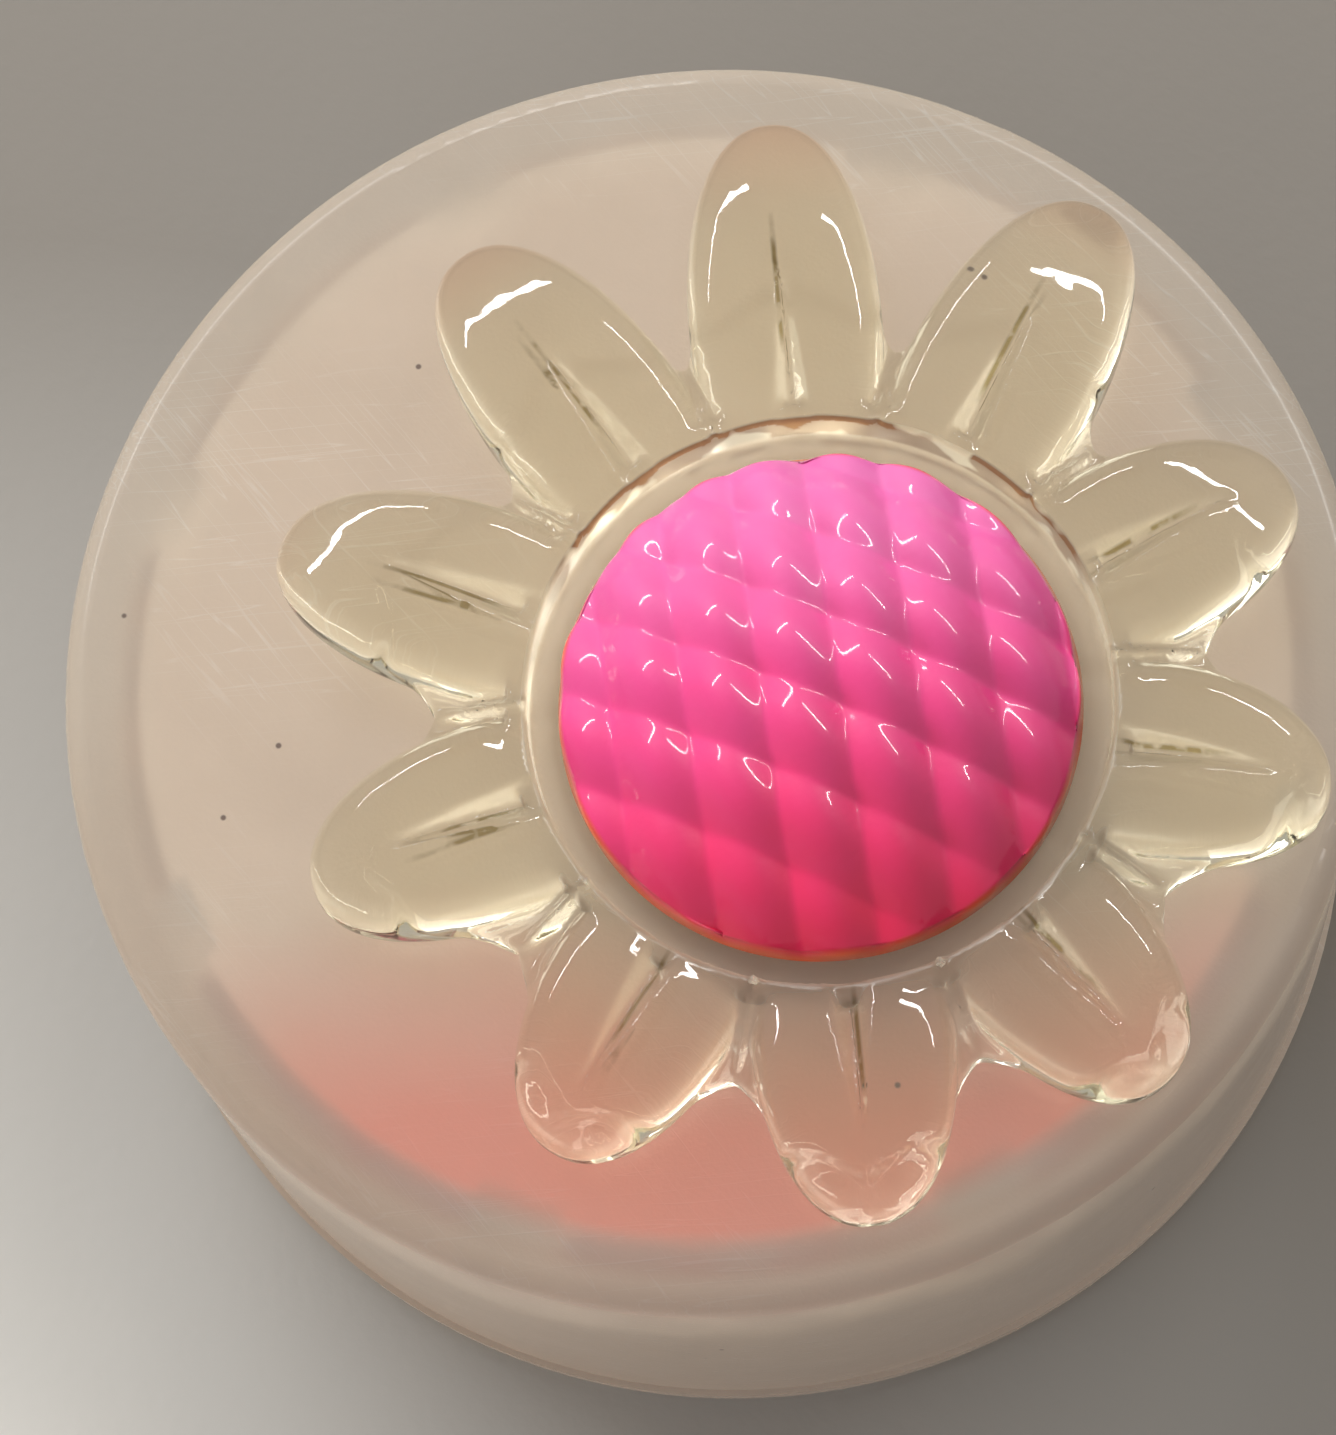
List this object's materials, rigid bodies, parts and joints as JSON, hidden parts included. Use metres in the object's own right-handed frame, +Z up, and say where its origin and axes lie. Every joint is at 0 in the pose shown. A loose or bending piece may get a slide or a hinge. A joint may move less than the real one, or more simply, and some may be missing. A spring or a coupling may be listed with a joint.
{
  "type": "decorative screw cap",
  "caption": "Frosted round screw cap with a clear daisy that turns on a domed pink centre above a threaded pink inner cap.",
  "frame": {"origin": "centre of the rim that the cap stands on, on the cap's axis", "axes": "+Z up along the cap's axis, out through the top plate; +X from the cap's axis towards the daisy's stem"},
  "size_m": [0.0624, 0.0624, 0.0308],
  "materials": {
    "frosted_shell": "satin",
    "pink_insert": "satin",
    "liner_foam": "matte",
    "clear_petals": "gloss",
    "neon_centre": "gloss",
    "ring_steel": "satin"
  },
  "bodies": {
    "cap": {"outer_shell": "frosted_shell", "inner_cap": "pink_insert", "foam_liner": "liner_foam"},
    "flower": {"daisy": "clear_petals", "daisy_centre": "neon_centre", "retaining_ring": "ring_steel"}
  },
  "joints": [
    {"name": "daisy_turn", "type": "hinge", "parent": "cap", "child": "flower", "pos_m": [0.006, 0, 0.024], "axis": [0, 0, 1], "continuous": true}
  ]
}
